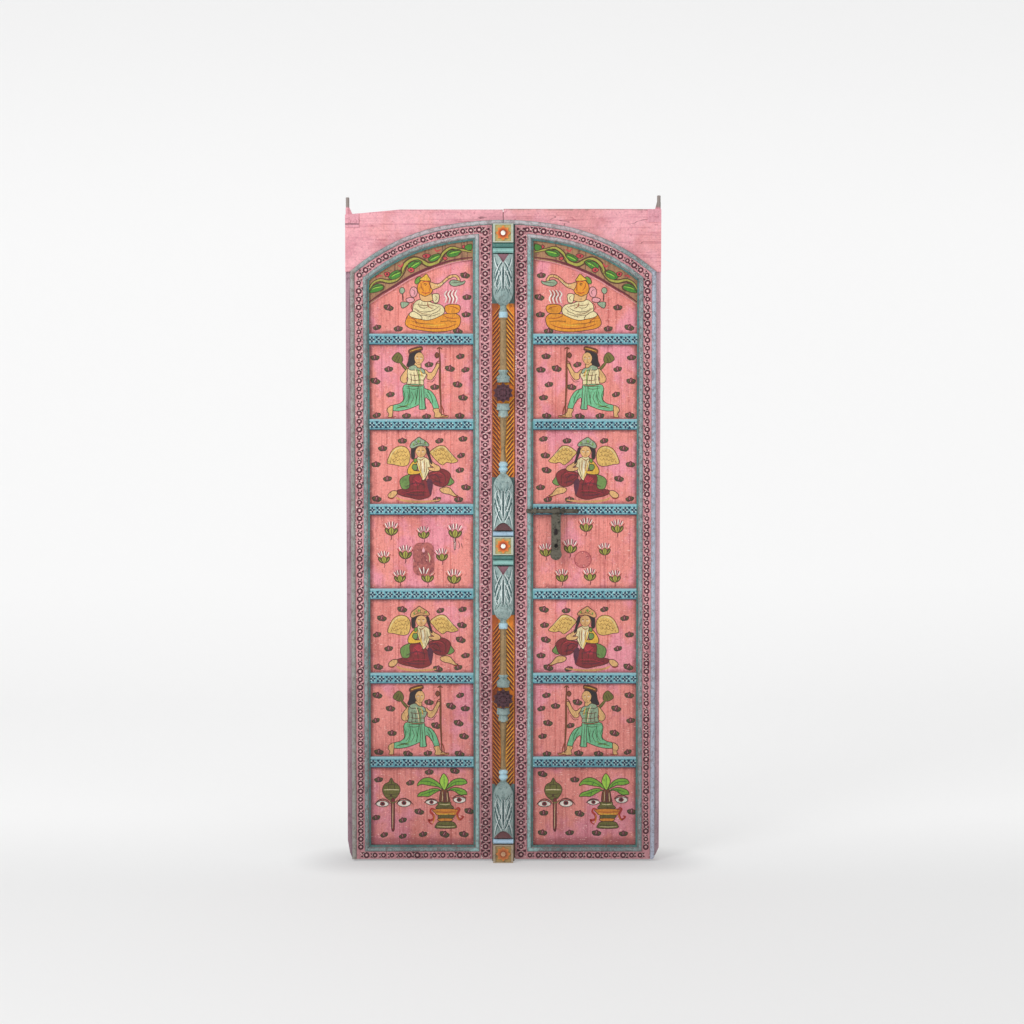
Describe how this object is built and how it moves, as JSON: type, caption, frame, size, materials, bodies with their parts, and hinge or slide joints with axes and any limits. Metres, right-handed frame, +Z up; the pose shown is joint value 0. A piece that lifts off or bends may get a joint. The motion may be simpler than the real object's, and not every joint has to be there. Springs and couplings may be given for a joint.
{
  "type": "painted double door",
  "caption": "Pair of painted plank door leaves with an arched moulded frame, panels, a carved astragal over the seam, forged pivots and a slide latch.",
  "frame": {"origin": "bottom centre of the closed pair, at the seam between the leaves", "axes": "+Z up, +X to the right for a viewer of the painted face, +Y away from that viewer"},
  "size_m": [0.984, 0.1296, 2.091],
  "materials": {
    "plank_wood": "old pink oil paint on timber, matt, worn at the edges",
    "frame_wood": "pink and teal painted moulding with dark ring pattern",
    "rail_wood": "blue painted with a small white and navy flower pattern",
    "vine_wood": "dark ground painted with a running vine",
    "carved_wood": "grey-green and orange painted carving",
    "lotus_wood": "dark purple painted carving",
    "ledge_wood": "bare aged timber",
    "patch_iron": "iron plate painted over in pink",
    "painted_iron": "forged iron painted over in pink",
    "latch_iron": "dark forged iron, dull"
  },
  "bodies": {
    "left_leaf": {"left_inner_plank": "plank_wood", "left_middle_plank": "plank_wood", "left_outer_plank": "plank_wood", "left_head_board": "plank_wood", "left_vine_board": "vine_wood", "left_hanging_stile": "frame_wood", "left_meeting_stile": "frame_wood", "left_arch_rail": "frame_wood", "left_bottom_rail": "frame_wood", "left_pivot_strap": "painted_iron", "left_nails": "painted_iron", "left_cross_rail_1": "rail_wood", "left_cross_rail_2": "rail_wood", "left_cross_rail_3": "rail_wood", "left_cross_rail_4": "rail_wood", "left_cross_rail_5": "rail_wood", "left_cross_rail_6": "rail_wood", "left_back_ledge_1": "ledge_wood", "left_back_ledge_2": "ledge_wood", "left_back_ledge_3": "ledge_wood", "left_back_ledge_4": "ledge_wood", "left_lock_patch": "patch_iron", "astragal": "carved_wood", "lower_lotus_boss": "lotus_wood", "upper_lotus_boss": "lotus_wood"},
    "right_leaf": {"right_inner_plank": "plank_wood", "right_middle_plank": "plank_wood", "right_outer_plank": "plank_wood", "right_head_board": "plank_wood", "right_vine_board": "vine_wood", "right_hanging_stile": "frame_wood", "right_meeting_stile": "frame_wood", "right_arch_rail": "frame_wood", "right_bottom_rail": "frame_wood", "right_pivot_strap": "painted_iron", "right_nails": "painted_iron", "right_cross_rail_1": "rail_wood", "right_cross_rail_2": "rail_wood", "right_cross_rail_3": "rail_wood", "right_cross_rail_4": "rail_wood", "right_cross_rail_5": "rail_wood", "right_cross_rail_6": "rail_wood", "right_back_ledge_1": "ledge_wood", "right_back_ledge_2": "ledge_wood", "right_back_ledge_3": "ledge_wood", "right_back_ledge_4": "ledge_wood", "right_disc_patch": "patch_iron", "right_meeting_strip": "ledge_wood", "inner_staple": "latch_iron", "outer_staple": "latch_iron"},
    "sliding_bolt": {"bolt_rod": "latch_iron"},
    "hanging_hasp": {"hasp": "latch_iron"}
  },
  "joints": [
    {"name": "right_leaf_swing", "type": "hinge", "parent": "left_leaf", "child": "right_leaf", "pos_m": [0.486, 0.02525, 1], "axis": [0, 0, -1], "range_deg": [0, 100]},
    {"name": "bolt_slide", "type": "slide", "parent": "right_leaf", "child": "sliding_bolt", "axis": [-1, 0, 0], "range_m": [0, 0.049]},
    {"name": "hasp_swing", "type": "hinge", "parent": "sliding_bolt", "child": "hanging_hasp", "pos_m": [0.165, -0.01825, 1.107], "axis": [-1, 0, 0], "range_deg": [0, 170]}
  ]
}
